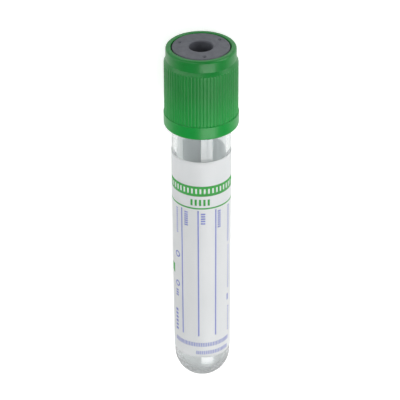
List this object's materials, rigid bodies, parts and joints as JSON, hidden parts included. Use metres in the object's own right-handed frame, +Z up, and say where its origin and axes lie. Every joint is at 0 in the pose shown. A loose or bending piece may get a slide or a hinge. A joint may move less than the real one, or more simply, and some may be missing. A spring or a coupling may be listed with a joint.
{
  "type": "blood collection tube",
  "caption": "Clear round-bottomed evacuated sample tube with a wrapped label and a ribbed green cap round a grey rubber stopper, lying on its side.",
  "frame": {"origin": "middle of the part's footprint, on the surface that it lies on", "axes": "+X along the tube towards its cap, +Z up, +Y across; the tube's axis rises towards the cap by about 2 degrees, because the cap is wider than the tube"},
  "size_m": [0.0836, 0.0162, 0.0166],
  "materials": {
    "clear_plastic": "clear, polished",
    "label_film": "satin white film",
    "green_ink": "printed green",
    "blue_ink": "printed light blue",
    "cap_plastic": "moulded, satin gloss",
    "stopper_rubber": "dull grey moulded rubber"
  },
  "bodies": {
    "tube_body": {"tube": "clear_plastic", "label": "label_film", "green_print": "green_ink", "blue_print": "blue_ink"},
    "closure": {"cap": "cap_plastic", "stopper": "stopper_rubber"}
  },
  "joints": [
    {"name": "closure_pull", "type": "slide", "parent": "tube_body", "child": "closure", "axis": [0.9995, 0, 0.0315], "range_m": [0, 0.025]}
  ]
}
